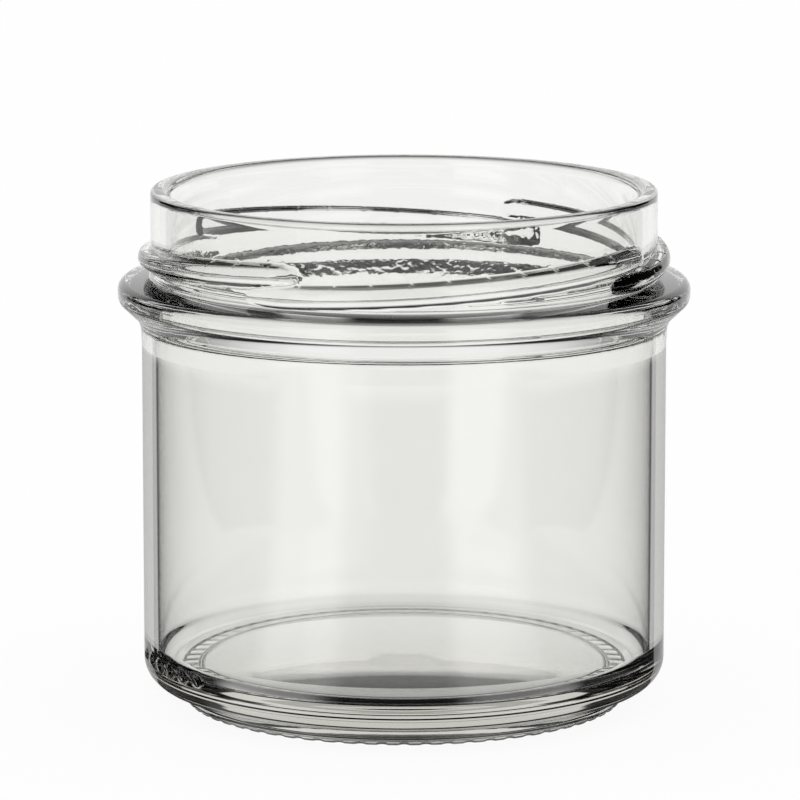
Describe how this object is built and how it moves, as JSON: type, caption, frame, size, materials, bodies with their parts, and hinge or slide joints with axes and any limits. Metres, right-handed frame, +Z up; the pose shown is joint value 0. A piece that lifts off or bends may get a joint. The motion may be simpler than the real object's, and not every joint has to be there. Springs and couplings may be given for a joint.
{
  "type": "glass jar",
  "caption": "Straight-sided clear glass jar with an open mouth, lugs for a twist cap, a rounded bead under the neck and a ribbed foot ring.",
  "frame": {"origin": "centre of the foot ring, on the surface that the jar stands on", "axes": "+Z up along the jar's axis, out of the mouth"},
  "size_m": [0.0706, 0.0706, 0.0639],
  "materials": {
    "clear_glass": "clear fire-polished soda-lime glass"
  },
  "bodies": {
    "root": {"jar": "clear_glass"}
  },
  "joints": []
}
